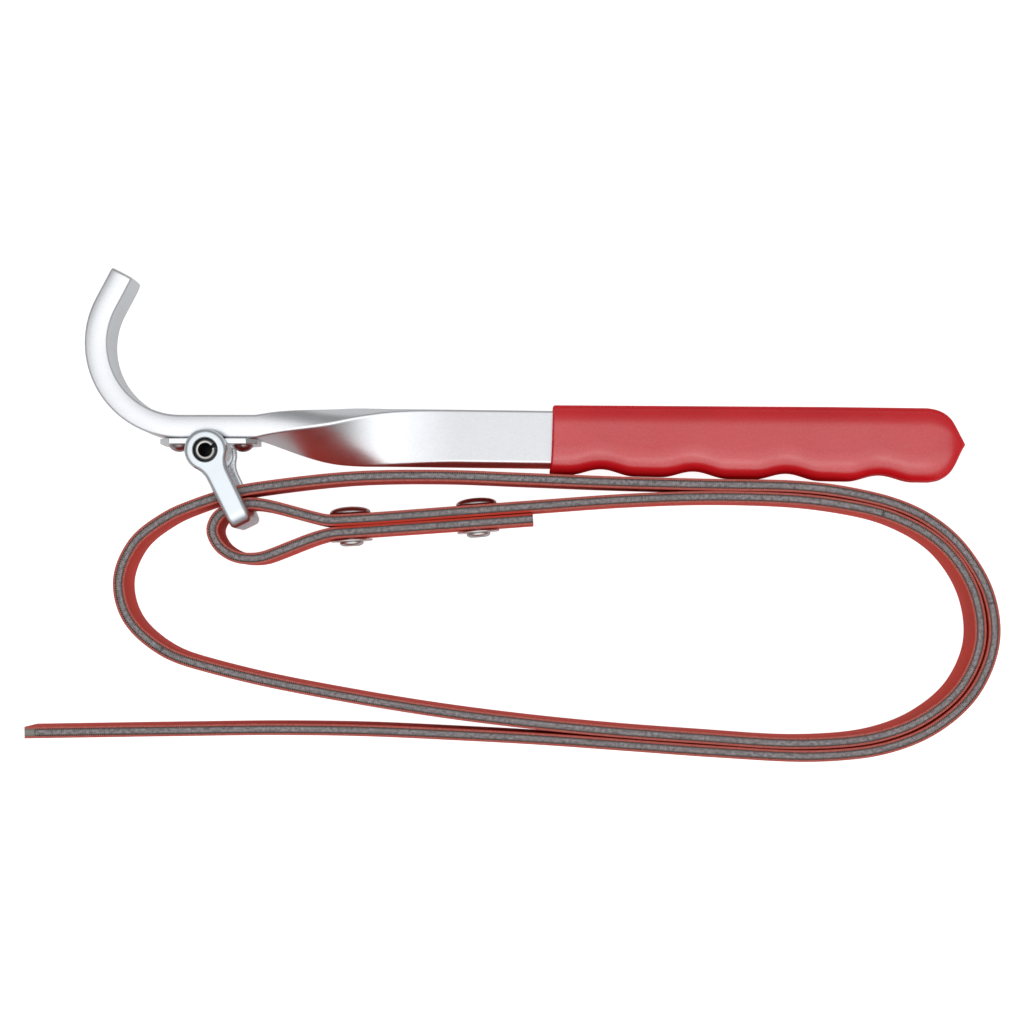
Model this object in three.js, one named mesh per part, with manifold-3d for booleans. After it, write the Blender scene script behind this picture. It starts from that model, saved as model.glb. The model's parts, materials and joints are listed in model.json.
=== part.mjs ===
// Strap-type oil filter wrench: a hooked flat-steel handle with a dipped grip, a stirrup that swings
// on a spring pin under the hook, and a long laminated strap whose riveted eye hangs on the stirrup.
//
// Frame, in millimetres: the tool lies on its side. +X runs along the handle to the grip, +Y points to
// the hook's tip and +Z is up, along the pin. Everything is drawn about the middle of the spring pin and
// then moved, so that the origin is the middle of the tool's outline on the bench.

import * as THREE from "three";
import { mergeVertices } from "three/addons/utils/BufferGeometryUtils.js";
import Module from "manifold-3d";

const wasm = await Module();
wasm.setup();

const { clamp, degToRad: rad, lerp, radToDeg, smoothstep } = THREE.MathUtils;
const part = new THREE.Group();
part.name = "strap_wrench";

// ---------------------------------------------------------------- driving dimensions

// Handle bar: flat stock bent to a hook, twisted once and pushed into the grip.
const BAR_WIDTH = 20;
const BAR_THICK = 8;
const BAR_EDGE = 1.1; // corner radius of the stock
const BAR_RISE = 8.4; // height of the bar's centre line above the pin
const HOOK_RADIUS = 28.5;
const HOOK_TURN = 118; // degrees of bend between the straight and the tip
const HOOK_START = -9.5; // X where the bend leaves the straight
const HOOK_TIP = 12; // straight length after the bend
const TIP_CORNER = 1.5; // rounding of the tip's two corners
const TWIST_TOTAL = 100.8; // a quarter turn and a little over
const TWIST_RATE = 1.8; // degrees per millimetre
const TWIST_FROM = 15.5;
const TWIST_TO = 58;
const TWIST_EASE_IN = 2;
const SAG_FROM = 15; // the bar drops from its straight to the line of the grip between these
const SAG_TO = 46;
const GRIP_LINE_RISE = 5.85; // the grip's line at X = 0, and how fast it falls
const GRIP_LINE_SLOPE = 0.0125;
const TANG_END = 243;

// Grip: a thick dipped sleeve with four finger grooves along its lower edge.
const GRIP_FROM = 117.6;
const GRIP_END = 260;
const GRIP_UP = [12, 12.6]; // reach above the bar's centre line, at the mouth and where it is full
const GRIP_DOWN = [12, 13.2]; // reach below it, between the finger grooves
const GRIP_FULL = 215; // X from where the grip has its full width
const GRIP_HALF_THICK = 6.4;
const GRIP_CORNER = 5.4;
const GROOVE_COUNT = 4;
const GROOVE_FIRST = 134.6;
const GROOVE_PITCH = 31.9;
const GROOVE_WIDTH = 23;
const GROOVE_DEPTH = 2.3;
const SLEEVE_GAP = 0.15; // between the tang and its pocket

// Pin, bracket and stirrup.
const PIN_RADIUS = 4;
const PIN_BORE = 2.3;
const PIN_LENGTH = 30;
const PIN_CHAMFER = 0.9;
const PIN_SLOT = 1.4;
const PIN_SLOT_ANGLE = 25;
const STRIP_THICK = 1.9; // saddle bracket's sheet
const SADDLE_RADIUS = 5.05; // centre line of the bend round the pin, a running fit on it
const SADDLE_FILLET = 1.6;
const SADDLE_REACH = 16.6;
const SADDLE_WIDTH = 20;
const SADDLE_CORNER = 3.5;
const SADDLE_RIVET_X = 11;
const BRACKET_SHANK = 2; // radius of the bracket rivets' shanks
const BRACKET_SINK = 3; // radius of their flush heads on the bar's far face
const BRACKET_CLEAR = 0.1;
const STIRRUP_ANGLE = -64; // the arms' direction from the pin
const STIRRUP_REACH = 28.1; // pin to the outer face of the cross bar
const STIRRUP_BAR = 3.9; // thickness of the cross bar
const STIRRUP_HALF_OUT = 15.4;
const STIRRUP_HALF_IN = 11.2;
const STIRRUP_BEND_OUT = 4.5; // bend between arm and cross bar, outside and inside
const STIRRUP_BEND_IN = 1.5;
const STIRRUP_CORNER = 0.8;
const BOSS_RADIUS = 7.2;
const ARM_HALF_NECK = 3.95;
const ARM_HALF_END = 3.8;
const NECK_FILLET = 8;

// Strap: rubber covers over two fabric plies and a core, measured from the middle of its thickness.
const STRAP_WIDTH = 20;
const CORE_HALF = 0.9;
const PLY_OUT = 1.3;
const STRAP_HALF = 2;
const LAYERS = [
  ["strap_inner_cover", -STRAP_HALF, -PLY_OUT],
  ["strap_inner_ply", -PLY_OUT, -CORE_HALF],
  ["strap_core", -CORE_HALF, CORE_HALF],
  ["strap_outer_ply", CORE_HALF, PLY_OUT],
  ["strap_outer_cover", PLY_OUT, STRAP_HALF],
];
const STRAP_STEP = 5.5; // degrees of bend between two facets
const STRAP_LONGEST = 30; // longest straight facet
const SEAM_SLOPE = 4; // the riveted seam climbs by this many degrees
const SEAM_RIVETS = [48.5, 92.1]; // X of the two seam rivets
const SEAM_Y = -25.5; // height between the two thicknesses at the first rivet
const SEAM_FACE = 4.35; // from the middle of the seam to the outside of either thickness
const SEAM_CLEAR = 0.1;
const SEAM_SHANK = 2.5;
const SEAM_HEAD = 7;
const SEAM_HEAD_HIGH = 2.5;
const SEAM_HEAD_RIM = 0.5; // straight part of the head's edge
const SEAM_TAIL_RADIUS = 4.1;
const SEAM_TAIL_HIGH = 1.5;
const WASHER_RADIUS = 7.3;
const WASHER_BORE = 2.7;
const WASHER_THICK = 0.7;

// The strap's centre line, from its short riveted end to its free end.
const SEAM_TAIL = [
  [111, -23.2], [80, -25.4], [50, -27.5],
];
const EYE = [
  [43, -28], [36, -29.8], [29, -32.6], [22.5, -35.2], [16, -36.7], [9.5, -36], [4.2, -32.6],
  [1.7, -27.5], [2.7, -23.6], [5.3, -20.9], [9.2, -19.2], [14, -17.9], [19, -18.3], [25.5, -19.8],
  [32.5, -21.7], [40, -23.5],
];
const FIRST_TURN = [
  [47, -23.5], [74, -21.6], [102, -19.6], [128, -17.6], [155, -16.1], [182, -15.8], [209, -17.4],
  [234, -22.7], [251, -32.8], [261, -48], [263.2, -65], [257, -80], [245, -90.6], [229, -97.1],
  [205, -99.6], [165, -97.5], [120, -93.8], [75, -88.2], [35, -81.3], [5, -74.8], [-15, -68],
  [-27, -57], [-30.1, -44], [-25, -31.5], [-14, -22.7], [-1.5, -17.4],
];
const SECOND_TURN = [
  [11.5, -13.6], [26, -11.5], [50, -9], [80, -8.5], [110, -9.6], [160, -11.4], [190, -11.7],
  [213, -13.4], [235, -18.4], [247, -24.3], [257, -33.2], [266, -48.5], [268, -65], [261.5, -81.8],
  [248.5, -94], [231, -101.3], [205, -104], [165, -101.9], [120, -98.6], [80, -96.4],
];
const FREE_END = [
  [40, -94.9], [0, -95.1], [-62.2, -96],
];

// ---------------------------------------------------------------- materials

const steel = { color: 0xd5d8db, roughness: 0.38, metalness: 0.9 };
const zinc = { color: 0xc9d2dc, roughness: 0.28, metalness: 0.95 };
const darkSteel = { color: 0x2f2f31, roughness: 0.45, metalness: 0.85 };
const rivetSteel = { color: 0xa9aaac, roughness: 0.3, metalness: 0.95 };
const nickel = { color: 0xc6bfb6, roughness: 0.3, metalness: 0.95 };
const gripRed = { color: 0xb3121d, roughness: 0.3, metalness: 0 };
const coverRed = { color: 0xa03328, roughness: 0.6, metalness: 0 };
const plyGrey = { color: 0x5c4a4a, roughness: 0.85, metalness: 0 };
const coreGrey = { color: 0x716e6e, roughness: 0.75, metalness: 0 };

// ---------------------------------------------------------------- building blocks

function solid(geometry) {
  const bare = geometry.index ? geometry.toNonIndexed() : geometry.clone();
  bare.deleteAttribute("normal");
  bare.deleteAttribute("uv");
  const merged = mergeVertices(bare, 1e-4);
  return new wasm.Manifold(
    new wasm.Mesh({
      numProp: 3,
      vertProperties: merged.attributes.position.array,
      triVerts: new Uint32Array(merged.index.array),
    }),
  );
}

function geometryOf(body) {
  const mesh = body.getMesh();
  const geometry = new THREE.BufferGeometry();
  geometry.setAttribute("position", new THREE.BufferAttribute(mesh.vertProperties, 3));
  geometry.setIndex(new THREE.BufferAttribute(mesh.triVerts, 1));
  return geometry;
}

function add(name, body, finish) {
  const geometry = body.isBufferGeometry ? body : geometryOf(body);
  geometry.computeVertexNormals();
  const mesh = new THREE.Mesh(geometry, new THREE.MeshStandardMaterial(finish));
  mesh.name = name;
  part.add(mesh);
}

// A closed outline in XY pulled along Z between two heights.
function prism(outline, from, to) {
  const shape = outline.isShape ? outline : new THREE.Shape(outline);
  const geometry = new THREE.ExtrudeGeometry(shape, {
    depth: to - from,
    bevelEnabled: false,
    curveSegments: 12,
  });
  return geometry.translate(0, 0, from);
}

// A skin over a row of rings with equal point counts, closed by a fan at each end.
function loft(rings) {
  const count = rings[0].length;
  const points = rings.flat();
  const middles = [rings[0], rings[rings.length - 1]].map((ring) =>
    ring.reduce((sum, p) => sum.add(p), new THREE.Vector3()).divideScalar(count),
  );
  const index = [];
  for (let r = 0; r + 1 < rings.length; r += 1) {
    for (let i = 0; i < count; i += 1) {
      const a = r * count + i;
      const b = r * count + ((i + 1) % count);
      index.push(a, b + count, b, a, a + count, b + count);
    }
  }
  const last = (rings.length - 1) * count;
  for (let i = 0; i < count; i += 1) {
    const next = (i + 1) % count;
    index.push(points.length, i, next);
    index.push(points.length + 1, last + next, last + i);
  }
  const geometry = new THREE.BufferGeometry().setFromPoints([...points, ...middles]);
  return geometry.setIndex(index);
}

// A lathe about Y from a profile of [radius, height] points that starts and ends on the axis.
function turned(profile, segments = 32) {
  return new THREE.LatheGeometry(
    profile.map(([r, y]) => new THREE.Vector2(r, y)),
    segments,
  );
}

// Points on an arc, as [x, y] pairs.
function arc(x, y, radius, from, to, steps) {
  return Array.from({ length: steps + 1 }, (_, i) => {
    const a = rad(from + ((to - from) * i) / steps);
    return [x + radius * Math.cos(a), y + radius * Math.sin(a)];
  });
}

// The closed outline of a strip that runs from one offset to another beside a centre line.
function ribbon(line, from, to) {
  const side = (offset) =>
    line.map(({ point, normal }) => point.clone().addScaledVector(normal, offset));
  return [...side(from), ...side(to).reverse()];
}

// ---------------------------------------------------------------- handle bar

// Length of the steady twist and of the run-out that brings it to its full angle.
const TWIST_STEADY = TWIST_TO - TWIST_FROM - TWIST_EASE_IN;
const TWIST_EASE_OUT = 2 * (TWIST_TOTAL / TWIST_RATE - TWIST_STEADY - TWIST_EASE_IN / 2);

// Degrees that the bar has turned about its own length.
function twistAt(x) {
  const into = clamp(x - TWIST_FROM, 0, TWIST_EASE_IN);
  const steady = clamp(x - TWIST_FROM - TWIST_EASE_IN, 0, TWIST_STEADY);
  const out = clamp(x - TWIST_TO, 0, TWIST_EASE_OUT);
  const easedIn = into ** 2 / (2 * TWIST_EASE_IN);
  const easedOut = out - out ** 2 / (2 * TWIST_EASE_OUT);
  return TWIST_RATE * (easedIn + steady + easedOut);
}

// Height of the bar's centre line behind the hook.
function barHeight(x) {
  const gripLine = GRIP_LINE_RISE - GRIP_LINE_SLOPE * x;
  return lerp(BAR_RISE, gripLine, smoothstep(x, SAG_FROM, SAG_TO));
}

// Depth of the finger grooves at a distance along the handle.
function grooveDepth(x) {
  const nearest = clamp(Math.round((x - GROOVE_FIRST) / GROOVE_PITCH), 0, GROOVE_COUNT - 1);
  const away = Math.abs(x - GROOVE_FIRST - nearest * GROOVE_PITCH) / (GROOVE_WIDTH / 2);
  return away < 1 ? GROOVE_DEPTH * (0.5 + 0.5 * Math.cos(Math.PI * away)) : 0;
}

// A rounded rectangle across the bar: "up" and "down" reach across its width, "half" across its
// thickness. The roll turns it about the centre line.
function section({ point, tangent, roll }, up, down, half, corner, perCorner) {
  const normal = new THREE.Vector3(-tangent.y, tangent.x, 0);
  const upright = new THREE.Vector3(0, 0, 1);
  const wide = upright.clone().applyAxisAngle(tangent, -roll);
  const thin = normal.clone().applyAxisAngle(tangent, -roll);
  const r = Math.min(corner, half * 0.98, (up + down) * 0.49);
  const centres = [
    [up - r, half - r, 0], [r - down, half - r, 90], [r - down, r - half, 180], [up - r, r - half, 270],
  ];
  return centres.flatMap(([w, t, from]) =>
    arc(w, t, r, from, from + 90, perCorner).map(([a, b]) =>
      point.clone().addScaledVector(wide, a).addScaledVector(thin, b),
    ),
  );
}

// Stations along the handle's centre line at a given X, behind the hook.
function stationAt(x) {
  const slope = barHeight(x + 0.5) - barHeight(x - 0.5);
  return {
    point: new THREE.Vector3(x, barHeight(x), 0),
    tangent: new THREE.Vector3(1, slope, 0).normalize(),
    roll: rad(twistAt(x)),
  };
}

function barSection(station, up = BAR_WIDTH / 2, down = BAR_WIDTH / 2, grow = 0) {
  return section(station, up + grow, down + grow, BAR_THICK / 2 + grow, BAR_EDGE + grow, 2);
}

function tangSection(x, grow) {
  return barSection(stationAt(x), BAR_WIDTH / 2, BAR_WIDTH / 2 - grooveDepth(x), grow);
}

function range(from, to, steps) {
  return Array.from({ length: steps + 1 }, (_, i) => from + ((to - from) * i) / steps);
}

const TANG_STATIONS = range(GROOVE_FIRST - GROOVE_WIDTH / 2, TANG_END - 1, 30);

function handleBar() {
  const centre = new THREE.Vector3(HOOK_START, BAR_RISE + HOOK_RADIUS, 0);
  const onBend = (turn) => ({
    point: new THREE.Vector3(
      centre.x - HOOK_RADIUS * Math.sin(turn),
      centre.y - HOOK_RADIUS * Math.cos(turn),
      0,
    ),
    tangent: new THREE.Vector3(Math.cos(turn), -Math.sin(turn), 0),
    roll: 0,
  });
  const bendEnd = onBend(rad(HOOK_TURN));
  const tipRings = [0, 0.15, 0.5, 0.9, TIP_CORNER].map((s) => {
    const station = {
      ...bendEnd,
      point: bendEnd.point.clone().addScaledVector(bendEnd.tangent, s - HOOK_TIP),
    };
    const inset = TIP_CORNER - Math.sqrt(TIP_CORNER ** 2 - (TIP_CORNER - s) ** 2);
    return barSection(station, BAR_WIDTH / 2 - inset, BAR_WIDTH / 2 - inset);
  });
  const bendRings = range(HOOK_TURN, 0, 22).map((turn) => barSection(onBend(rad(turn))));
  const shankStations = [0, ...range(TWIST_FROM, TWIST_TO + TWIST_EASE_OUT, 30), GRIP_FROM - 3];
  const shankRings = shankStations.map((x) => barSection(stationAt(x)));
  const tangRings = TANG_STATIONS.map((x) => tangSection(x, 0));
  const endRings = [0, 1].map((step) => tangSection(TANG_END - 1 + step, -step));
  return solid(loft([...tipRings, ...bendRings, ...shankRings, ...tangRings, ...endRings]));
}

// ---------------------------------------------------------------- grip sleeve

function gripSleeve() {
  const outside = (x, share = 1, thin = 1) => {
    const full = clamp((x - GRIP_FROM) / (GRIP_FULL - GRIP_FROM), 0, 1);
    const up = lerp(...GRIP_UP, full) * share;
    const down = (lerp(...GRIP_DOWN, full) - grooveDepth(x)) * share;
    return section(stationAt(x), up, down, GRIP_HALF_THICK * thin, GRIP_CORNER * thin, 4);
  };
  const pocket = [TANG_END + 0.5, ...TANG_STATIONS.slice().reverse(), GRIP_FROM].map((x) => {
    const inner = stationAt(x);
    const up = BAR_WIDTH / 2 + SLEEVE_GAP;
    return section(inner, up, up - grooveDepth(x), BAR_THICK / 2 + SLEEVE_GAP, BAR_EDGE, 4);
  });
  const lip = [[0, 0.945, 0.87], [0.3, 0.975, 0.94], [1.1, 1, 1]].map(([step, share, thin]) =>
    outside(GRIP_FROM + step, share, thin),
  );
  const body = range(GROOVE_FIRST - GROOVE_WIDTH / 2, GRIP_END - 13, 40).map((x) => outside(x));
  // The end rounds over and runs out to the small drip left by dipping: distance from the tip,
  // share of the width and share of the thickness.
  const end = [
    [10, 0.985, 1], [7.4, 0.925, 0.98], [5.6, 0.82, 0.93], [4.2, 0.7, 0.87], [3, 0.53, 0.78],
    [2, 0.37, 0.66], [1, 0.2, 0.5], [0.35, 0.1, 0.32], [0, 0.03, 0.1],
  ].map(([back, share, thin]) => outside(GRIP_END - back, share, thin));
  return solid(loft([...pocket, ...lip, ...body, ...end]));
}

// ---------------------------------------------------------------- saddle bracket and its rivets

const saddleTop = BAR_RISE - BAR_THICK / 2 - 0.1; // the flanges lie against the underside of the bar

function saddleBracket() {
  const middle = saddleTop - STRIP_THICK / 2;
  const turnX = SADDLE_RADIUS + SADDLE_FILLET;
  const right = [
    ...arc(0, 0, SADDLE_RADIUS, -90, 0, 10),
    ...arc(turnX, middle - SADDLE_FILLET, SADDLE_FILLET, 180, 90, 5),
    [SADDLE_REACH, middle],
  ];
  const left = right.slice(1).reverse().map(([x, y]) => [-x, y]);
  const points = [...left, ...right].map(([x, y]) => new THREE.Vector2(x, y));
  const line = points.map((point, i) => {
    const along = points[Math.min(i + 1, points.length - 1)].clone().sub(points[Math.max(i - 1, 0)]);
    return { point, normal: new THREE.Vector2(-along.y, along.x).normalize() };
  });
  const outline = ribbon(line, -STRIP_THICK / 2, STRIP_THICK / 2);
  const strip = prism(outline, -SADDLE_WIDTH / 2, SADDLE_WIDTH / 2);
  const reach = SADDLE_REACH + 1;
  const wide = SADDLE_WIDTH / 2 + 1;
  const cut = SADDLE_CORNER + 2;
  const plan = [
    [reach, wide - cut], [reach - cut, wide], [cut - reach, wide], [-reach, wide - cut],
    [-reach, cut - wide], [cut - reach, -wide], [reach - cut, -wide], [reach, cut - wide],
  ].map(([x, z]) => new THREE.Vector2(x, z));
  const trim = prism(plan, -10, 10).rotateX(Math.PI / 2);
  return solid(strip).intersect(solid(trim));
}

function bracketRivet(x) {
  const under = saddleTop - STRIP_THICK;
  const flatten = 1.2; // the dome is wider than it is deep
  const dome = arc(0, under + 1.05, 3.25, -90, -18.8, 6).map(([r, y]) => [r * flatten, y]);
  const face = BAR_RISE + BAR_THICK / 2;
  return turned([
    ...dome, [3.7, under - 0.02], [BRACKET_SHANK, under - 0.02], [BRACKET_SHANK, face - 1.5],
    [BRACKET_SINK, face - 0.5], [BRACKET_SINK, face - 0.05], [0, face - 0.05],
  ], 20).translate(x, 0, 0);
}

// The hole that takes such a rivet, with its countersink.
function bracketHole(x) {
  const face = BAR_RISE + BAR_THICK / 2;
  const shank = BRACKET_SHANK + BRACKET_CLEAR;
  const sink = BRACKET_SINK + BRACKET_CLEAR;
  return solid(turned([
    [0, -2], [shank, -2], [shank, face - 1.5], [sink, face - 0.5], [sink, face + 3], [0, face + 3],
  ], 20).translate(x, 0, 0));
}

// ---------------------------------------------------------------- stirrup and spring pin

// The stirrup is drawn hanging down -Y with its pin at the origin, then turned to its angle.
function stirrup() {
  const neckX = ARM_HALF_NECK + NECK_FILLET;
  const neckY = -Math.sqrt((BOSS_RADIUS + NECK_FILLET) ** 2 - neckX ** 2);
  const meet = radToDeg(Math.atan2(neckY, neckX));
  const cornerX = ARM_HALF_END - STIRRUP_CORNER;
  const right = [
    [cornerX, -STIRRUP_REACH],
    ...arc(cornerX, STIRRUP_CORNER - STIRRUP_REACH, STIRRUP_CORNER, -90, 0, 3),
    ...arc(neckX, neckY, NECK_FILLET, 180, 180 + meet, 6),
    ...arc(0, 0, BOSS_RADIUS, meet + 8, 90, 16),
  ];
  const left = right.slice(0, -1).reverse().map(([x, y]) => [-x, y]);
  const face = [...right, ...left].map(([x, y]) => new THREE.Vector2(x, y));
  const front = solid(prism(face, -STIRRUP_HALF_OUT, STIRRUP_HALF_OUT));

  const uOutline = (half, bottom, top, radius) => [
    [-half, top],
    ...arc(radius - half, bottom + radius, radius, 180, 270, 6),
    ...arc(half - radius, bottom + radius, radius, 270, 360, 6),
    [half, top],
  ].map(([z, y]) => new THREE.Vector2(z, y));
  const sideways = (outline, half) => solid(prism(outline, -half, half).rotateY(Math.PI / 2));
  const barInside = STIRRUP_BAR - STIRRUP_REACH;
  const outer = sideways(uOutline(STIRRUP_HALF_OUT, -STIRRUP_REACH, 12, STIRRUP_BEND_OUT), 10);
  const inner = sideways(uOutline(STIRRUP_HALF_IN, barInside, 13, STIRRUP_BEND_IN), 11);
  const boreRadius = PIN_RADIUS + 0.05;
  const bore = new THREE.CylinderGeometry(boreRadius, boreRadius, 40, 40).rotateX(Math.PI / 2);
  const body = front.intersect(outer).subtract(inner).subtract(solid(bore));
  return geometryOf(body).rotateZ(rad(STIRRUP_ANGLE + 90));
}

function springPin() {
  const half = PIN_LENGTH / 2;
  const land = PIN_RADIUS - PIN_CHAMFER;
  const tube = turned([
    [PIN_BORE, -half], [land, -half], [PIN_RADIUS, PIN_CHAMFER - half],
    [PIN_RADIUS, half - PIN_CHAMFER], [land, half], [PIN_BORE, half], [PIN_BORE, -half],
  ], 40).rotateX(Math.PI / 2);
  const slot = new THREE.BoxGeometry(PIN_RADIUS + 1, PIN_SLOT, PIN_LENGTH + 2)
    .translate((PIN_RADIUS + 1) / 2, 0, 0)
    .rotateZ(rad(PIN_SLOT_ANGLE));
  return solid(tube).subtract(solid(slot));
}

// ---------------------------------------------------------------- strap

// Points of the centre line where it has turned by one facet, each with the normal beside it.
function strapLine() {
  const controls = [...SEAM_TAIL, ...EYE, ...FIRST_TURN, ...SECOND_TURN, ...FREE_END];
  const curve = new THREE.CatmullRomCurve3(
    controls.map(([x, y]) => new THREE.Vector3(x, y, 0)),
    false,
    "centripetal",
  );
  const fine = controls.length * 60;
  const line = [];
  let kept = null;
  for (let i = 0; i <= fine; i += 1) {
    const point = curve.getPoint(i / fine);
    const tangent = curve.getTangent(i / fine);
    const turned = kept ? radToDeg(kept.tangent.angleTo(tangent)) : 0;
    const far = kept ? kept.point.distanceTo(point) : 0;
    if (!kept || i === fine || turned > STRAP_STEP || far > STRAP_LONGEST) {
      kept = { point, tangent };
      line.push({
        point: new THREE.Vector2(point.x, point.y),
        normal: new THREE.Vector2(-tangent.y, tangent.x),
      });
    }
  }
  return line;
}

// Seam rivet parts stand on the seam: +Y of the part points out of the strap's upper face.
function onSeam(geometry, x) {
  const rise = Math.tan(rad(SEAM_SLOPE)) * (x - SEAM_RIVETS[0]);
  return geometry.rotateZ(rad(SEAM_SLOPE)).translate(x, SEAM_Y + rise, 0);
}

function seamRivet(x) {
  const top = SEAM_FACE + SEAM_CLEAR;
  const low = SEAM_FACE + SEAM_CLEAR + WASHER_THICK + 0.05;
  const domeHigh = SEAM_HEAD_HIGH - SEAM_HEAD_RIM;
  const head = range(0, 75, 5).map((a) => [
    SEAM_HEAD * Math.cos(rad(a)),
    top + SEAM_HEAD_RIM + domeHigh * Math.sin(rad(a)),
  ]);
  return onSeam(turned([
    [0, -low - SEAM_TAIL_HIGH], [SEAM_TAIL_RADIUS - 1, -low - SEAM_TAIL_HIGH],
    [SEAM_TAIL_RADIUS, -low - SEAM_TAIL_HIGH + 0.7], [SEAM_TAIL_RADIUS, -low], [SEAM_SHANK, -low],
    [SEAM_SHANK, top], [SEAM_HEAD, top], ...head, [0, top + SEAM_HEAD_HIGH],
  ], 28), x);
}

function rivetWasher(x) {
  const near = -SEAM_FACE - SEAM_CLEAR;
  return onSeam(turned([
    [WASHER_BORE, near - WASHER_THICK], [WASHER_RADIUS - 0.2, near - WASHER_THICK],
    [WASHER_RADIUS, near - WASHER_THICK + 0.2], [WASHER_RADIUS, near], [WASHER_BORE, near],
    [WASHER_BORE, near - WASHER_THICK],
  ], 28), x);
}

function seamHole(x) {
  return solid(onSeam(new THREE.CylinderGeometry(SEAM_SHANK + 0.2, SEAM_SHANK + 0.2, 16, 16), x));
}

// ---------------------------------------------------------------- assembly

add(
  "handle_bar",
  handleBar().subtract(bracketHole(-SADDLE_RIVET_X)).subtract(bracketHole(SADDLE_RIVET_X)),
  steel,
);
add("grip_sleeve", gripSleeve(), gripRed);
add(
  "saddle_bracket",
  saddleBracket().subtract(bracketHole(-SADDLE_RIVET_X)).subtract(bracketHole(SADDLE_RIVET_X)),
  zinc,
);
add("bracket_rivet_hook_side", bracketRivet(-SADDLE_RIVET_X), rivetSteel);
add("bracket_rivet_grip_side", bracketRivet(SADDLE_RIVET_X), rivetSteel);
add("stirrup", stirrup(), zinc);
add("spring_pin", springPin(), darkSteel);

const strap = strapLine();
for (const [name, from, to] of LAYERS) {
  const strip = solid(prism(ribbon(strap, from, to), -STRAP_WIDTH / 2, STRAP_WIDTH / 2));
  const finish = name.endsWith("cover") ? coverRed : name.endsWith("ply") ? plyGrey : coreGrey;
  add(name, SEAM_RIVETS.reduce((body, x) => body.subtract(seamHole(x)), strip), finish);
}

["eye_side", "end_side"].forEach((side, i) => {
  add(`strap_rivet_${side}`, seamRivet(SEAM_RIVETS[i]), rivetSteel);
  add(`rivet_washer_${side}`, rivetWasher(SEAM_RIVETS[i]), nickel);
});

const bounds = new THREE.Box3().setFromObject(part);
const middle = bounds.getCenter(new THREE.Vector3());
for (const mesh of part.children) {
  mesh.geometry.translate(-middle.x, -middle.y, -bounds.min.z);
}

export default part;
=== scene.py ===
"""Looks of the strap-type oil filter wrench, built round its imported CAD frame.

Lengths are in millimetres from the middle of the spring pin, until place() turns them into metres.
"""

import json
import math

import bmesh
import bpy
import numpy as np
from mathutils import Matrix, Vector


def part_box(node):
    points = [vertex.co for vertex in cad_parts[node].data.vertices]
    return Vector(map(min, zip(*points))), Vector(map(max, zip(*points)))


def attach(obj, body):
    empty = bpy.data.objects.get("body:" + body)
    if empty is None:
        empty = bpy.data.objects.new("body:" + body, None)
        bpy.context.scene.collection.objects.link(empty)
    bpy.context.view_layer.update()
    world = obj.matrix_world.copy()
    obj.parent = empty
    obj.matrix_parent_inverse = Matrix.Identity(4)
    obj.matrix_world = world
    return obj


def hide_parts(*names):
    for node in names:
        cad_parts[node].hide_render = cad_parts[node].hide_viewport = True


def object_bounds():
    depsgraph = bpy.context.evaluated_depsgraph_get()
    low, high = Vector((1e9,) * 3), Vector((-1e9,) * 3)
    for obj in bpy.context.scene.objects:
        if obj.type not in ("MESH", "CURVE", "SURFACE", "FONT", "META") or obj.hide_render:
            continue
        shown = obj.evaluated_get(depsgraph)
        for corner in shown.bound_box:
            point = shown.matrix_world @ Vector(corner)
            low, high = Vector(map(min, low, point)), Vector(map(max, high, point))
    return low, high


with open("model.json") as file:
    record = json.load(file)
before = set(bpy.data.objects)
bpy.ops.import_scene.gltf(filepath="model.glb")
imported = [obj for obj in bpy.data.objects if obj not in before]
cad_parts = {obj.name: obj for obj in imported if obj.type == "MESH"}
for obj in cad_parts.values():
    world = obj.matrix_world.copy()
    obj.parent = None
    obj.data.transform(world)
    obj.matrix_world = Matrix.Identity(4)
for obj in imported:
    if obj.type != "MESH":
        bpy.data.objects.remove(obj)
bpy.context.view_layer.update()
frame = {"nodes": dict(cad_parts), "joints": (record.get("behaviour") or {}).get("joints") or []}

MM = 0.001
MICRONS = 1e6  # in a metre
JOINTS = {joint["name"]: joint for joint in frame["joints"]}
PIN = Vector(JOINTS["stirrup_swing"]["pos_m"])  # the middle of the spring pin
FLAT_WEIGHT = 80  # how far the large faces decide the normals beside them


# ---------- mesh helpers

def place(x, y, z=0.0):
    """A point given in millimetres from the middle of the pin, in the frame's metres."""
    return PIN + Vector((x, y, z)) * MM


def finish_piece(name, mesh, material, body, node, sharp=None):
    """Links the mesh as a piece that rides on a body and stands for a CAD node."""
    obj = bpy.data.objects.new(name, mesh)
    bpy.context.scene.collection.objects.link(obj)
    mesh.materials.append(material)
    for polygon in mesh.polygons:
        polygon.use_smooth = True
    if sharp is not None:
        mesh.set_sharp_from_angle(angle=math.radians(sharp))
    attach(obj, body)
    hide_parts(node)
    return obj


def mesh_from(name, points, faces):
    mesh = bpy.data.meshes.new(name)
    mesh.from_pydata([tuple(point) for point in points], [], faces)
    return mesh


def outward(mesh, merge=0.0):
    """Turns every face outwards, after merging points that are closer than merge millimetres."""
    work = bmesh.new()
    work.from_mesh(mesh)
    if merge:
        bmesh.ops.remove_doubles(work, verts=work.verts, dist=merge * MM)
    bmesh.ops.recalc_face_normals(work, faces=work.faces)
    work.to_mesh(mesh)
    work.free()
    mesh.update()
    return mesh


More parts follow.
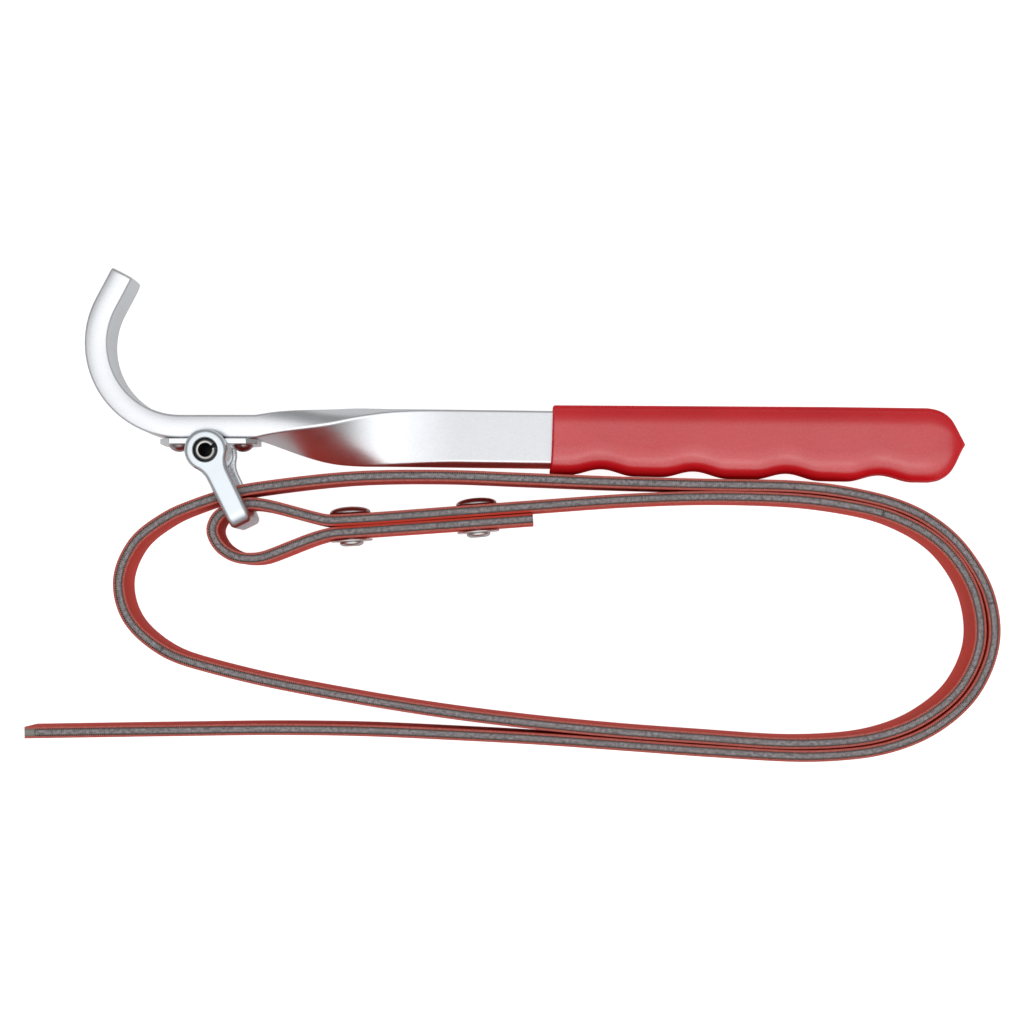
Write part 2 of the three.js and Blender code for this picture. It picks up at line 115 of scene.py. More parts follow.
def skin(name, rings, closed_ends=True, looped=False):
    """A quad skin over rings of equal point counts."""
    count, rows = len(rings[0]), len(rings)
    faces = []
    for row in range(rows if looped else rows - 1):
        ahead = (row + 1) % rows
        for i in range(count):
            j = (i + 1) % count
            faces.append((row * count + i, row * count + j, ahead * count + j, ahead * count + i))
    if closed_ends and not looped:
        faces.append(tuple(reversed(range(count))))
        faces.append(tuple(range((rows - 1) * count, rows * count)))
    mesh = mesh_from(name, [point for ring in rings for point in ring], faces)
    mesh.validate()
    mesh.update()
    return mesh


def lay_run(mesh, us, vs):
    """UVs of a skin: us along its rings and vs round each ring, carried on where the ring closes."""
    layer = mesh.uv_layers.new(name="run")
    carried_on = vs[-1] + (vs[1] - vs[0])
    for polygon in mesh.polygons:
        for corner, loop in enumerate(polygon.loop_indices):
            row, column = divmod(mesh.loops[loop].vertex_index, len(vs))
            closing = column == 0 and len(polygon.vertices) == 4 and corner in (1, 2)
            layer.data[loop].uv = (us[row], carried_on if closing else vs[column])
    return mesh


def around(axis, steps):
    """The axis as a unit vector, and the unit vectors all round it."""
    up = Vector(axis).normalized()
    across = up.orthogonal().normalized()
    beside = up.cross(across)
    turns = [math.tau * i / steps for i in range(steps)]
    return up, [across * math.cos(turn) + beside * math.sin(turn) for turn in turns]


def lathe(name, profile, centre, axis, steps=96):
    """Turns a profile of (radius, height) points about an axis; it starts and ends on the axis."""
    up, outs = around(axis, steps)
    inner = profile[1:-1]
    points = [centre + (out * radius + up * height) * MM for radius, height in inner for out in outs]
    first, final = len(points), len(points) + 1
    points += [centre + up * height * MM for _, height in (profile[0], profile[-1])]
    faces = []
    for row in range(len(inner) - 1):
        low, high = row * steps, (row + 1) * steps
        faces += [(low + i, low + (i + 1) % steps, high + (i + 1) % steps, high + i) for i in range(steps)]
    top = first - steps
    for i in range(steps):
        j = (i + 1) % steps
        faces += [(first, j, i), (final, top + i, top + j)]
    return outward(mesh_from(name, points, faces))


def ring_lathe(name, profile, centre, axis, steps=96):
    """Turns a closed profile that stays off the axis, such as a washer's."""
    up, outs = around(axis, steps)
    rings = [[centre + (out * radius + up * height) * MM for radius, height in profile] for out in outs]
    return outward(skin(name, rings, looped=True))


def arc(x, y, radius, start, end, steps):
    """Points along an arc, from one angle in degrees to another."""
    turns = [math.radians(start + (end - start) * i / steps) for i in range(steps + 1)]
    return [(x + radius * math.cos(turn), y + radius * math.sin(turn)) for turn in turns]


def prism(name, outline, low, high, to_point=place):
    """A closed outline pulled from low to high; to_point places (a, b, height)."""
    count = len(outline)
    points = [to_point(a, b, height) for height in (low, high) for a, b in outline]
    faces = [tuple(reversed(range(count))), tuple(range(count, 2 * count))]
    faces += [(i, (i + 1) % count, count + (i + 1) % count, count + i) for i in range(count)]
    return outward(mesh_from(name, points, faces))


def ribbon(points, half):
    """The closed outline of a strip of even thickness along a line of points."""
    line = [Vector(point) for point in points]
    left, right = [], []
    for i, point in enumerate(line):
        along = line[min(i + 1, len(line) - 1)] - line[max(i - 1, 0)]
        normal = Vector((-along.y, along.x)).normalized()
        left.append(point + normal * half)
        right.append(point - normal * half)
    return [tuple(point) for point in left + right[::-1]]


def combine(mesh, cutters):
    """Cuts or trims a mesh by others: cutters are (operation, mesh) pairs."""
    obj = bpy.data.objects.new("work", mesh)
    bpy.context.scene.collection.objects.link(obj)
    tools = []
    for operation, cutter in cutters:
        tool = bpy.data.objects.new("tool", cutter)
        bpy.context.scene.collection.objects.link(tool)
        tools.append(tool)
        modifier = obj.modifiers.new("cut", "BOOLEAN")
        modifier.operation = operation
        modifier.solver = "EXACT"
        modifier.object = tool
    bpy.context.view_layer.update()
    graph = bpy.context.evaluated_depsgraph_get()
    result = bpy.data.meshes.new_from_object(obj.evaluated_get(graph))
    for helper in (*tools, obj):
        bpy.data.objects.remove(helper)
    return result


def keep_flats(obj, keep_sharp=True):
    """Lets the large faces decide the normals, so that they stay flat beside their rounded edges."""
    level = obj.modifiers.new("flats", "WEIGHTED_NORMAL")
    level.keep_sharp = keep_sharp
    level.weight = FLAT_WEIGHT


def soften(obj, width, segments, angle):
    """Rounds the edges that are sharper than an angle and keeps the flats flat."""
    bevel = obj.modifiers.new("edges", "BEVEL")
    bevel.width = width * MM
    bevel.segments = segments
    bevel.limit_method = "ANGLE"
    bevel.angle_limit = math.radians(angle)
    bevel.harden_normals = False
    keep_flats(obj, keep_sharp=False)


def smooth_curve(points, per_span):
    """A centripetal Catmull-Rom curve through all the points, per_span steps from each to the next."""
    points = np.asarray(points, float)
    padded = np.vstack([2 * points[0] - points[1], points, 2 * points[-1] - points[-2]])
    shares = np.arange(per_span)[:, None] / per_span
    fine = []
    for p0, p1, p2, p3 in zip(padded, padded[1:], padded[2:], padded[3:]):
        d0, d1, d2 = (max(np.linalg.norm(gap) ** 0.5, 1e-6) for gap in (p1 - p0, p2 - p1, p3 - p2))
        leave = ((p1 - p0) / d0 - (p2 - p0) / (d0 + d1) + (p2 - p1) / d1) * d1
        arrive = ((p2 - p1) / d1 - (p3 - p1) / (d1 + d2) + (p3 - p2) / d2) * d1
        square = -3 * p1 + 3 * p2 - 2 * leave - arrive
        cube = 2 * p1 - 2 * p2 + leave + arrive
        fine.append(p1 + leave * shares + square * shares**2 + cube * shares**3)
    return np.vstack([*fine, points[-1]])


# ---------- the strap's length

CORD_PITCH = 0.74  # between two cord ends of a ply
CORE_HALF, PLY_OUT, COVER_OUT = 0.9, 1.3, 2.0  # each layer's outer face, from the middle of the strap
SPLICE_FIRST, SPLICE_PITCH, SPLICE_COUNT = 350.1, 357.2, 3  # along the run, from its riveted end
SPLICES = [SPLICE_FIRST + i * SPLICE_PITCH for i in range(SPLICE_COUNT)]
SPLICE_HALF, BARE_END = 0.45, 3.6  # half a splice's width; the free end's last stretch without cords
# Along the run, where the seam presses the inner cover on itself.
SEAM_SPANS = ((-10.0, 67.0), (162.0, 229.5))
SQUARE = 0.2  # two edges are square to each other when their directions' product is below this
CURVE_STEPS, STRAP_STEP = 40, 1.0


def upper_outline(mesh):
    """The points round a flat solid's upper face, in order, in millimetres."""
    high = max(vertex.co.z for vertex in mesh.vertices)
    spots = {
        vertex.index: (round(vertex.co.x * MICRONS), round(vertex.co.y * MICRONS))
        for vertex in mesh.vertices
        if abs(vertex.co.z - high) < 10 / MICRONS
    }
    uses = {}
    for polygon in mesh.polygons:
        corners = list(polygon.vertices)
        if all(i in spots for i in corners):
            for a, b in zip(corners, corners[1:] + corners[:1]):
                edge = frozenset((spots[a], spots[b]))
                uses[edge] = uses.get(edge, 0) + 1
    beside = {}
    for edge, times in uses.items():
        if times == 1 and len(edge) == 2:
            a, b = edge
            beside.setdefault(a, []).append(b)
            beside.setdefault(b, []).append(a)
    return walk(beside) / (MICRONS * MM)


def walk(beside):
    """The spots in order round their loop, from each one's two neighbours."""
    start = min(beside)
    loop, before = [start], None
    while True:
        onward = next(spot for spot in beside[loop[-1]] if spot != before)
        before = loop[-1]
        if onward == start or len(loop) > len(beside):
            return np.array(loop, float)
        loop.append(onward)


def long_sides(outline):
    """The two long sides of a strip's outline, running the same way, split at its square ends."""
    count = len(outline)
    edges = np.roll(outline, -1, axis=0) - outline
    ahead = edges / np.linalg.norm(edges, axis=1)[:, None]
    turns = np.abs((ahead * np.roll(ahead, 1, axis=0)).sum(1)) < SQUARE  # at the start of each edge
    ends = [i for i in range(count) if turns[i] and turns[(i + 1) % count]]
    one, two = ends[:2]
    first = [outline[(one + 1 + k) % count] for k in range((two - one - 1) % count + 1)]
    second = [outline[(two + 1 + k) % count] for k in range((one - two - 1) % count + 1)]
    return np.array(first), np.array(second[::-1])


def midline(first, second):
    """Halfway between each point of the first side and the nearest spot on the second."""
    starts, spans = second[:-1], np.diff(second, axis=0)
    middle = []
    for point in first:
        share = np.clip(((point - starts) * spans).sum(1) / (spans * spans).sum(1), 0, 1)
        near = starts + spans * share[:, None]
        middle.append((point + near[np.linalg.norm(near - point, axis=1).argmin()]) / 2)
    return np.array(middle)


def strap_curve():
    """The strap's centre line from its riveted end, read from the core's upper face."""
    middle = midline(*long_sides(upper_outline(frame["nodes"]["strap_core"].data)))
    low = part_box("strap_rivet_end_side")[0]
    away = np.linalg.norm(middle[[0, -1]] - np.array([low.x, low.y]) / MM, axis=1)
    return smooth_curve(middle[::-1] if away[0] > away[1] else middle, CURVE_STEPS)


STRAP_CURVE = strap_curve()


def strap_line(step):
    """Run, points, tangents and normals along the strap, every step millimetres."""
    run = np.r_[0, np.cumsum(np.linalg.norm(np.diff(STRAP_CURVE, axis=0), axis=1))]
    even = np.linspace(0, run[-1], int(run[-1] / step) + 1)
    points = np.stack([np.interp(even, run, STRAP_CURVE[:, k]) for k in (0, 1)], axis=1)
    tangent = np.gradient(points, axis=0)
    tangent /= np.linalg.norm(tangent, axis=1)[:, None]
    normal = np.stack([-tangent[:, 1], tangent[:, 0]], axis=1)
    return even, points, tangent, normal


STRAP_LINE = strap_line(STRAP_STEP)
STRAP_RUN = float(STRAP_LINE[0][-1])


# ---------- materials

# Colours are linear red, green and blue. A pair holds the two ends of a material's own variation.
WORN_EDGE, GRAIN_PIT = (0.92, 0.93, 0.94), (0.2, 0.2, 0.2)
CLOUD_DULL = 0.94  # how dark the duller clouds of the plating are
# The pin's bore: near-black colours that paint in the shade inside the hole.
SHADE_IN_BORE = (0.006, 0.005, 0.005), (0.02, 0.016, 0.014)
VINYL_RED = (0.61, 0.008, 0.014), (0.67, 0.011, 0.018)
RUBBER_FACE = (0.49, 0.040, 0.024), (0.57, 0.052, 0.032)
# The cut edges' paler, pinker colour: a painted sheen on the edges that face up and down.
CUT_EDGE_SHEEN = (0.40, 0.075, 0.057), (0.54, 0.16, 0.13)
FIBRE_GREY = (0.122, 0.106, 0.108), (0.42, 0.380, 0.385)
PALE_FLECK, DARK_CLOUD, BESIDE_PLY = (0.27, 0.26, 0.255), (0.10, 0.085, 0.085), (0.075, 0.062, 0.058)
SPLICE_DARK, BARE_CORE, BARE_LINE = (0.03, 0.028, 0.028), (0.27, 0.26, 0.225), (0.04, 0.04, 0.036)
CORD_DASH = (0.010, 0.005, 0.004), (0.27, 0.16, 0.14)
BARE_PLY = (0.24, 0.225, 0.19)
COVER_UV = 10.0  # UV units in a metre of cover
GLANCE = 0.07, 0.45  # the vinyl's shine fades from the first to the second share of turning away


class Nodes:
    """A short way to write node trees."""

    def __init__(self, name):
        self.material = bpy.data.materials.new(name)
        self.material.use_nodes = True
        self.tree = self.material.node_tree
        self.shader = self.tree.nodes["Principled BSDF"]

    def new(self, kind, **settings):
        node = self.tree.nodes.new(kind)
        for key, value in settings.items():
            setattr(node, key, value)
        return node

    def link(self, source, target):
        self.tree.links.new(source, target)

    def feed(self, **sources):
        """Links sources to the shader's inputs."""
        for key, source in sources.items():
            self.link(source, self.shader.inputs[key.replace("_", " ")])

    def set(self, **values):
        """Sets the shader's inputs to fixed values."""
        for key, value in values.items():
            self.shader.inputs[key.replace("_", " ")].default_value = value

    def coordinates(self, kind="Object"):
        return self.new("ShaderNodeTexCoord").outputs[kind]

    def parts(self, vector):
        """The X, Y and Z of a vector."""
        node = self.new("ShaderNodeSeparateXYZ")
        self.link(vector, node.inputs[0])
        return node.outputs

    def scaled(self, vector, scale):
        mapping = self.new("ShaderNodeMapping")
        mapping.inputs["Scale"].default_value = scale
        self.link(vector, mapping.inputs["Vector"])
        return mapping.outputs["Vector"]

    def noise(self, vector, scale=1.0, detail=3.0, rough=0.5):
        node = self.new("ShaderNodeTexNoise")
        node.inputs["Scale"].default_value = scale
        node.inputs["Detail"].default_value = detail
        node.inputs["Roughness"].default_value = rough
        self.link(vector, node.inputs["Vector"])
        return node.outputs["Fac"]

    def spread(self, value, low=0.0, high=1.0, start=0.3, end=0.7):
        """Maps start to low and end to high, and clamps outside them."""
        node = self.new("ShaderNodeMapRange")
        node.inputs["From Min"].default_value = start
        node.inputs["From Max"].default_value = end
        node.inputs["To Min"].default_value = low
        node.inputs["To Max"].default_value = high
        self.link(value, node.inputs["Value"])
        return node.outputs["Result"]

    def math(self, operation, a, b=None):
        node = self.new("ShaderNodeMath", operation=operation)
        for socket, value in zip(node.inputs, (a, b)):
            if isinstance(value, (int, float)):
                socket.default_value = value
            elif value is not None:
                self.link(value, socket)
        return node.outputs[0]

    def times(self, a, b):
        return self.math("MULTIPLY", a, b)

    def mix(self, factor, first, second):
        """A colour between two; each argument is a number, a colour or a socket."""
        node = self.new("ShaderNodeMix", data_type="RGBA")
        for name, kind, value in (("Factor", "VALUE", factor), ("A", "RGBA", first), ("B", "RGBA", second)):
            socket = next(each for each in node.inputs if each.name == name and each.type == kind)
            if isinstance(value, (int, float)):
                socket.default_value = value
            elif isinstance(value, tuple):
                socket.default_value = (*value, 1.0)
            else:
                self.link(value, socket)
        return next(socket for socket in node.outputs if socket.type == "RGBA")

    def bump(self, height, strength, distance, under=None):
        """A bump of a height up to distance millimetres, over another bump if there is one."""
        node = self.new("ShaderNodeBump")
        node.inputs["Strength"].default_value = strength
        node.inputs["Distance"].default_value = distance * MM
        self.link(height, node.inputs["Height"])
        if under is not None:
            self.link(under, node.inputs["Normal"])
        return node.outputs["Normal"]


def satin_plate(name, colour, rough, grain):
    """Plated steel: a fine blasted grain, cloudy polish and lighter worn edges."""
    n = Nodes(name)
    where = n.coordinates()
    cloud = n.noise(where, scale=60, detail=4)
    fine = n.noise(where, scale=2600, detail=2)
    streak = n.noise(n.scaled(where, (240, 1500, 1500)))
    edge = n.spread(n.new("ShaderNodeNewGeometry").outputs["Pointiness"], start=0.51, end=0.56)
    base = n.mix(n.spread(cloud), tuple(part * CLOUD_DULL for part in colour), colour)
    base = n.mix(n.spread(fine, grain * 0.17, 0.0, 0.35, 0.65), base, GRAIN_PIT)
    base = n.mix(n.times(edge, 0.35), base, WORN_EDGE)
    polish = n.math("ADD", n.spread(cloud, rough - 0.02, rough + 0.03), n.spread(streak, -0.03, 0.03))
    n.feed(Base_Color=base, Roughness=polish, Normal=n.bump(fine, grain, 0.02))
    n.set(Metallic=1.0)
    return n.material


def bore_painted_shade():
    """The pin's bore, painted near black as painted shade in the hole."""
    n = Nodes("bore_painted_shade")
    n.feed(Base_Color=n.mix(n.noise(n.coordinates(), scale=400), *SHADE_IN_BORE))
    n.set(Roughness=0.7, Specular_IOR_Level=0.15)
    return n.material


def dipped_vinyl():
    """Glossy dipped vinyl: even red, a slight orange peel, faint scuffs and a worn shine."""
    n = Nodes("dipped_vinyl")
    where = n.coordinates()
    cloud = n.noise(where, scale=45)
    peel = n.noise(where, scale=420, detail=2)
    fine = n.noise(where, scale=2200, detail=2)
    scuff = n.noise(n.scaled(where, (90, 700, 700)), detail=4, rough=0.6)
    rough = n.math("ADD", n.spread(scuff, 0.0, 0.06, 0.5, 0.75), n.spread(peel, 0.30, 0.36))
    worn = n.times(n.spread(fine, 0.78, 1.0, 0.38, 0.62), n.spread(n.noise(where, scale=28), 0.85, 1.0))
    away = n.new("ShaderNodeLayerWeight").outputs["Facing"]
    n.feed(
        Base_Color=n.mix(n.spread(cloud), *VINYL_RED),
        Roughness=rough,
        Coat_Weight=n.times(worn, n.spread(away, 1.0, 0.0, *GLANCE)),
        Specular_IOR_Level=n.times(worn, n.spread(away, 0.95, 0.05, *GLANCE)),
        Normal=n.bump(fine, 0.15, 0.01, under=n.bump(peel, 0.34, 0.15)),
    )
    n.set(Coat_IOR=1.55, Coat_Roughness=0.2)
    return n.material


def band(n, run, at, half_width):
    """1 within a band across the strap at a distance along it, 0 outside, in millimetres."""
    away = n.math("ABSOLUTE", n.math("SUBTRACT", run, at * MM))
    fade = min(half_width * 0.3, 1.0)
    return n.spread(away, 1.0, 0.0, (half_width - fade) * MM, (half_width + fade) * MM)


def cover_rubber(name, pressed=()):
    """Red rubber: a cloth imprint on the faces, and a paler, pinker painted sheen on the cut edges where the
    seam does not press them.
    """
    n = Nodes(name)
    where = n.coordinates()
    run = n.coordinates("UV")
    cloud = n.noise(where, scale=70, detail=4)
    fine = n.noise(where, scale=1900)
    weave = n.new("ShaderNodeTexWave", wave_type="BANDS", bands_direction="X")
    weave.inputs["Scale"].default_value = 260
    weave.inputs["Distortion"].default_value = 0.6
    n.link(run, weave.inputs["Vector"])
    facing = n.parts(n.new("ShaderNodeNewGeometry").outputs["True Normal"])["Z"]
    cut = n.spread(n.math("ABSOLUTE", facing), start=0.4, end=0.9)
    along = n.times(n.parts(run)["X"], 1 / COVER_UV)
    for start, end in pressed:
        held = band(n, along, (start + end) / 2, (end - start) / 2)
        cut = n.times(cut, n.math("SUBTRACT", 1.0, held))
    face = n.mix(n.spread(cloud), *RUBBER_FACE)
    # a painted sheen on the cut edges that face up or down, left off where the seam presses the cover
    painted_sheen = n.mix(n.spread(fine), *CUT_EDGE_SHEEN)
    imprint = n.bump(weave.outputs["Fac"], 0.12, 0.04)
    n.feed(
        Base_Color=n.mix(cut, face, painted_sheen),
        Roughness=n.spread(cloud, 0.72, 0.85),
        Normal=n.bump(fine, 0.35, 0.02, under=imprint),
    )
    n.set(Specular_IOR_Level=0.12)
    return n.material


def core_rubber():
    """The grey middle of the strap where it is cut: short fibres, darker beside the plies and at a splice."""
    n = Nodes("core_rubber")
    run = n.coordinates("UV")
    along, across, _ = n.parts(run)
    fibre = n.noise(n.scaled(run, (900, 1100, 1)), detail=4, rough=0.65)
    fleck = n.noise(n.coordinates(), scale=1500, rough=0.6)
    cloud = n.noise(n.coordinates(), scale=90)
    grey = n.mix(n.spread(fibre, start=0.34, end=0.66), *FIBRE_GREY)
    grey = n.mix(n.spread(fleck, 0.0, 0.5, 0.55, 0.75), grey, PALE_FLECK)
    grey = n.mix(n.spread(cloud, 0.0, 0.25), grey, DARK_CLOUD)
    near_ply = n.spread(n.math("ABSOLUTE", across), 0.0, 0.7, CORE_HALF / 2 * MM, CORE_HALF * MM)
    grey = n.mix(near_ply, grey, BESIDE_PLY)
    for at in SPLICES:
        grey = n.mix(n.times(band(n, along, at, SPLICE_HALF), 0.65), grey, SPLICE_DARK)
    bare = band(n, along, STRAP_RUN - BARE_END / 2, BARE_END / 2)
    grey = n.mix(n.times(bare, 0.75), grey, BARE_CORE)
    grey = n.mix(n.times(band(n, along, STRAP_RUN - BARE_END, 0.25), 0.6), grey, BARE_LINE)
    n.feed(
        Base_Color=grey,
        Roughness=n.spread(fleck, 0.65, 0.85),
        Normal=n.bump(fibre, 0.5, 0.06, under=n.bump(fleck, 0.3, 0.03)),
    )
    n.set(Specular_IOR_Level=0.3)
    return n.material


def ply_cord():
    """Cord ends of the fabric ply: dark and light dashes along the cut edge."""
    n = Nodes("ply_cord")
    run = n.coordinates("UV")
    along = n.parts(run)["X"]
    phase = n.math("SINE", n.times(along, math.tau / (CORD_PITCH * MM)))
    jitter = n.spread(n.noise(n.scaled(run, (700, 200, 1))), -0.5, 0.5)
    dash = n.spread(n.math("ADD", phase, jitter), start=-0.1, end=0.35)
    bare = band(n, along, STRAP_RUN - BARE_END / 2, BARE_END / 2)
    cord = n.mix(n.times(bare, 0.7), n.mix(dash, *CORD_DASH), BARE_PLY)
    n.feed(Base_Color=cord, Normal=n.bump(dash, 0.5, 0.05))
    n.set(Roughness=0.85, Specular_IOR_Level=0.2)
    return n.material


def paper():
    """White, with a glow that differs for what lights the part, what is seen and what is mirrored."""
    n = Nodes("bench_paper")
    where = n.coordinates()
    path = n.new("ShaderNodeLightPath").outputs
    seen = n.spread(path["Is Camera Ray"], 0.0, GLOW_SEEN - GLOW, 0.0, 1.0)
    mirrored = n.spread(path["Is Glossy Ray"], GLOW, GLOW_MIRRORED, 0.0, 1.0)
    n.feed(
        Base_Color=n.mix(n.spread(n.noise(where, scale=40, detail=4)), *PAPER_GREY),
        Emission_Strength=n.math("ADD", seen, mirrored),
        Normal=n.bump(n.noise(where, scale=900), 0.05, 0.05),
    )
    n.set(Roughness=0.9, Specular_IOR_Level=0.1, Emission_Color=(1, 1, 1, 1))
    return n.material


STEEL = satin_plate("satin_plated_steel", (0.83, 0.845, 0.87), rough=0.34, grain=0.6)
ZINC = satin_plate("bright_zinc", (0.69, 0.745, 0.78), rough=0.27, grain=0.05)
SHEET = satin_plate("zinc_sheet", (0.76, 0.77, 0.79), rough=0.2, grain=0.2)
RIVET = satin_plate("rivet_steel", (0.40, 0.35, 0.345), rough=0.26, grain=0.2)
NICKEL = satin_plate("nickel_washer", (0.58, 0.55, 0.52), rough=0.25, grain=0.25)
BLACK = satin_plate("black_spring_steel", (0.07, 0.068, 0.066), rough=0.34, grain=0.4)
BRIGHT_RING = satin_plate("ground_pin_end", (0.42, 0.40, 0.37), rough=0.3, grain=0.3)
# the pin's bore, painted near black as painted shade
BORE_SHADE = bore_painted_shade()
VINYL = dipped_vinyl()
COVER = cover_rubber("cover_rubber")
INNER_COVER = cover_rubber("cover_rubber_inner", SEAM_SPANS)
CORE = core_rubber()
PLY = ply_cord()


# ---------- handle bar

BAR_WIDTH, BAR_THICK, BAR_EDGE, BAR_RISE = 20.0, 8.0, 1.1, 8.4
HOOK_RADIUS, HOOK_TURN, HOOK_START, HOOK_TIP = 28.5, 118.0, -9.5, 12.0
TIP_CORNER, TIP_REAR, TIP_LIP = 1.2, 3.6, 0.5  # rounding of the tip at its upper edge, lower edge and face
EDGE, EDGE_LEAST, CROWN = 0.7, 0.4, 0.75  # the rolled edges and the slight crown of the narrow faces
TWIST_TOTAL, TWIST_RATE, TWIST_FROM, TWIST_TO, TWIST_EASE = 100.8, 1.8, 15.5, 58.0, 2.0
TWIST_END = 96.0  # where the bar lies flat again
SAG_FROM, SAG_TO = 15.0, 46.0
LINE_RISE, LINE_SLOPE = 5.85, 0.0125
GRIP_FROM, GRIP_END, GRIP_FULL = 117.6, 260.0, 215.0
GRIP_UP, GRIP_DOWN = (12.0, 12.6), (12.0, 13.2)  # each at the mouth and at the full section
GRIP_HALF_THICK, GRIP_CORNER, GRIP_STRETCH, GRIP_SPARE = 6.4, 5.4, 1.5, 0.5
POCKET_GAP, POCKET_DEPTH = 0.05, (3.0, 0.5, 0.1)
LIP_ROUND, LIP_LEAN, LIP_FADE = 0.9, 1.0, 9.0
GROOVES, GROOVE_FIRST, GROOVE_PITCH, GROOVE_WIDTH, GROOVE_DEPTH = 4, 134.6, 31.9, 23.0, 2.3
BAR_SHAPE = dict(per_corner=5, spare=0.25, crown=CROWN, across=7)


def clamp(value, low, high):
    return max(low, min(high, value))


def smoothstep(value, low, high):
    t = clamp((value - low) / (high - low), 0.0, 1.0)
    return t * t * (3 - 2 * t)


def twist_at(x):
    """Degrees that the bar has turned about its own length."""
    ease_out = 2 * (TWIST_TOTAL / TWIST_RATE - (TWIST_TO - TWIST_FROM - TWIST_EASE / 2))
    into = clamp(x - TWIST_FROM, 0, TWIST_EASE)
    steady = clamp(x - TWIST_FROM - TWIST_EASE, 0, TWIST_TO - TWIST_FROM - TWIST_EASE)
    out = clamp(x - TWIST_TO, 0, ease_out)
    return TWIST_RATE * (into * into / (2 * TWIST_EASE) + steady + out - out * out / (2 * ease_out))


def bar_height(x):
    """How far the bar's middle lies above the pin."""
    share = smoothstep(x, SAG_FROM, SAG_TO)
    return BAR_RISE * (1 - share) + (LINE_RISE - LINE_SLOPE * x) * share


def groove_depth(x):
    nearest = clamp(round((x - GROOVE_FIRST) / GROOVE_PITCH), 0, GROOVES - 1)
    away = abs(x - GROOVE_FIRST - nearest * GROOVE_PITCH) / (GROOVE_WIDTH / 2)
    return GROOVE_DEPTH * (0.5 + 0.5 * math.cos(math.pi * away)) if away < 1 else 0.0


def run_station(x):
    """A station along the straight and twisted run: its place, direction and roll."""
    slope = bar_height(x + 0.5) - bar_height(x - 0.5)
    return (x, bar_height(x)), (1.0, slope), math.radians(twist_at(x))


def bend_station(turn, ahead=0.0):
    """A station on the hook's bend at a turn from the run, or ahead of there towards the run."""
    c, s = math.cos(turn), math.sin(turn)
    x = HOOK_START - HOOK_RADIUS * s + c * ahead
    y = BAR_RISE + HOOK_RADIUS - HOOK_RADIUS * c - s * ahead
    return (x, y), (c, -s), 0.0


def rounded_outline(up, down, half, corner, per_corner, spare, crown=0.0, across=0, stretch=1.0):
    """A rounded rectangle: up and down across its width, half its thickness, its two narrow faces crowned.

    A corner is an ellipse, stretched across the width. Spare is how far from each corner the flats begin, and
    across is the number of points on a narrow face.
    """
    high = min(corner, half * 0.98)
    long = min(corner * stretch, (up + down) * 0.49)
    outline = []
    for w, t, start in (
        (up - long, half - high, 0),
        (long - down, half - high, 90),
        (long - down, high - half, 180),
        (up - long, high - half, 270),
    ):
        bend = [(w + long * a, t + high * b) for a, b in arc(0, 0, 1.0, start, start + 90, per_corner)]
        c, s = math.cos(math.radians(start)) * spare, math.sin(math.radians(start)) * spare
        outline += [(bend[0][0] + s, bend[0][1] - c), *bend, (bend[-1][0] - c, bend[-1][1] - s)]
        if start in (90, 270):  # a narrow face comes next
            side, top = outline[-1]
            outline += [(side, top * (1 - 2 * k / (across + 1))) for k in range(1, across + 1)]
    middle = (up - down) / 2
    return [(a - math.copysign(crown * (b / half) ** 2, a - middle), b) for a, b in outline]


def section(station, up, down, half, corner, **shape):
    """The rounded outline set across the bar at a station."""
    (x, y), (tx, ty), roll = station
    size = math.hypot(tx, ty)
    normal = Vector((-ty / size, tx / size, 0))
    upright = Vector((0, 0, 1))
    wide = upright * math.cos(roll) + normal * math.sin(roll)
    thin = normal * math.cos(roll) - upright * math.sin(roll)
    outline = rounded_outline(up, down, half, corner, **shape)
    return [place(x, y) + (wide * a + thin * b) * MM for a, b in outline]


def corner_loss(step, radius):
    """What a corner's rounding takes off the width at a distance from the tip."""
    return radius - math.sqrt(radius**2 - max(radius - step, 0) ** 2)


def tip_rings():
    """The hook's end: a small lip round its face, and a rounded upper and lower edge."""
    turns = np.linspace(0, math.pi / 2, 7)
    steps = [(TIP_LIP * (1 - math.cos(turn)) + 1e-3, TIP_LIP * (1 - math.sin(turn))) for turn in turns]
    steps += [(TIP_LIP + (TIP_REAR - TIP_LIP) * i / 12, 0.0) for i in range(1, 13)]
    rings = []
    for step, shrink in steps:
        half_width = BAR_WIDTH / 2 - shrink * 0.4
        up, down = half_width - corner_loss(step, TIP_CORNER), half_width - corner_loss(step, TIP_REAR)
        corner = max(EDGE - shrink * 0.5, EDGE_LEAST)
        station = bend_station(math.radians(HOOK_TURN), step - HOOK_TIP)
        rings.append(section(station, up, down, BAR_THICK / 2 - shrink, corner, **BAR_SHAPE))
    return rings


def build_bar():
    """The bar from the hook's tip, round its bend and through its twist, into the grip."""
    end_turn = math.radians(HOOK_TURN)
    straight = HOOK_TIP - TIP_REAR
    stations = [bend_station(end_turn, straight * i / 4 - straight) for i in range(1, 4)]
    stations += [bend_station(end_turn * (1 - i / 70)) for i in range(71)]
    before_twist = np.linspace(HOOK_START + 1, TWIST_FROM, 14)
    twisted = np.linspace(TWIST_FROM + 0.6, TWIST_END, 130)
    after_twist = np.linspace(TWIST_END + 1.5, GRIP_FROM + 4, 16)
    stations += [run_station(float(x)) for x in np.concatenate([before_twist, twisted, after_twist])]
    size = BAR_WIDTH / 2, BAR_WIDTH / 2, BAR_THICK / 2, EDGE
    rings = tip_rings() + [section(station, *size, **BAR_SHAPE) for station in stations]
    mesh = outward(skin("handle_bar", rings))
    keep_flats(finish_piece("bar", mesh, STEEL, "handle", "handle_bar", sharp=60))


# ---------- grip

DRIP_LENGTH = 13.0
